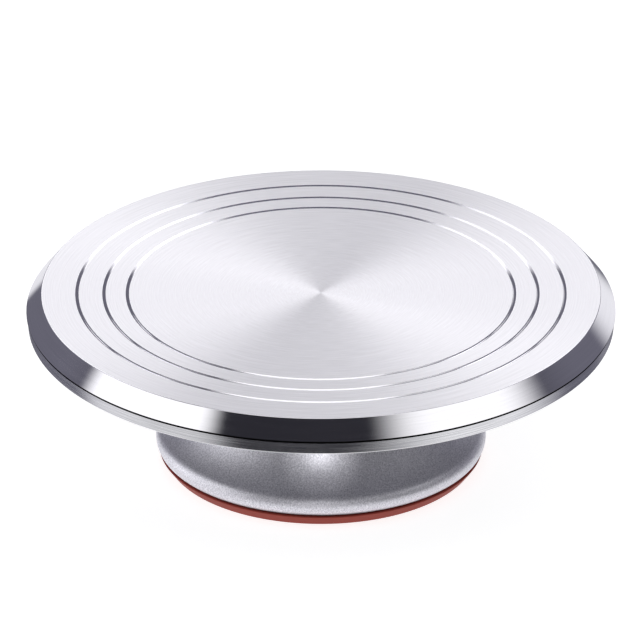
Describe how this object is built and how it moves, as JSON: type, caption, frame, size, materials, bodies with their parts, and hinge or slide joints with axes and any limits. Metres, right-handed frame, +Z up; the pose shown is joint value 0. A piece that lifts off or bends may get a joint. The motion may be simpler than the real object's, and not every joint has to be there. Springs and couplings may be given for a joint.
{
  "type": "cake turntable",
  "caption": "Cake turntable: a turned aluminium plate with cut guide rings and a polished bevelled rim, spinning on a ball-bearing spindle in a flared cast base on a non-slip silicone ring.",
  "frame": {"origin": "on the table, under the centre of the plate", "axes": "+Z up along the spindle's axis; X and Y lie in the table's plane"},
  "size_m": [0.305, 0.305, 0.094],
  "materials": {
    "turned_aluminium": "lathe-turned face with concentric tool marks, polished bevel",
    "cast_aluminium": "fine sand-textured silver",
    "silicone": "satin moulded silicone",
    "turned_steel": "turned",
    "screw_steel": "blackened",
    "bearing_steel": "ground",
    "ball_steel": "polished",
    "shield_steel": "pressed sheet",
    "spring_steel": "phosphated",
    "cage_nylon": "moulded, natural",
    "cap_plastic": "moulded, fine texture"
  },
  "bodies": {
    "base": {"base_casting": "cast_aluminium", "grip_ring": "silicone", "dust_cap": "cap_plastic", "upper_outer_race": "bearing_steel", "upper_top_shield": "shield_steel", "upper_bottom_shield": "shield_steel", "lower_outer_race": "bearing_steel", "lower_top_shield": "shield_steel", "lower_bottom_shield": "shield_steel"},
    "plate": {"top_plate": "turned_aluminium", "spindle": "turned_steel", "flange_screws": "screw_steel", "upper_inner_race": "bearing_steel", "spacer_sleeve": "turned_steel", "lower_inner_race": "bearing_steel", "thrust_washer": "turned_steel", "retaining_ring": "spring_steel"},
    "upper_cage": {"upper_ball_cage": "cage_nylon", "upper_balls": "ball_steel"},
    "lower_cage": {"lower_ball_cage": "cage_nylon", "lower_balls": "ball_steel"}
  },
  "joints": [
    {"name": "plate_spin", "type": "hinge", "parent": "base", "child": "plate", "pos_m": [0, 0, 0.069], "axis": [0, 0, 1], "continuous": true},
    {"name": "upper_cage_spin", "type": "hinge", "parent": "base", "child": "upper_cage", "pos_m": [0, 0, 0.069], "axis": [0, 0, 1], "continuous": true},
    {"name": "lower_cage_spin", "type": "hinge", "parent": "base", "child": "lower_cage", "pos_m": [0, 0, 0.039], "axis": [0, 0, 1], "continuous": true}
  ],
  "couplings": [
    {"joint": "upper_cage_spin", "follows": "plate_spin", "ratio": 0.381},
    {"joint": "lower_cage_spin", "follows": "plate_spin", "ratio": 0.381}
  ]
}
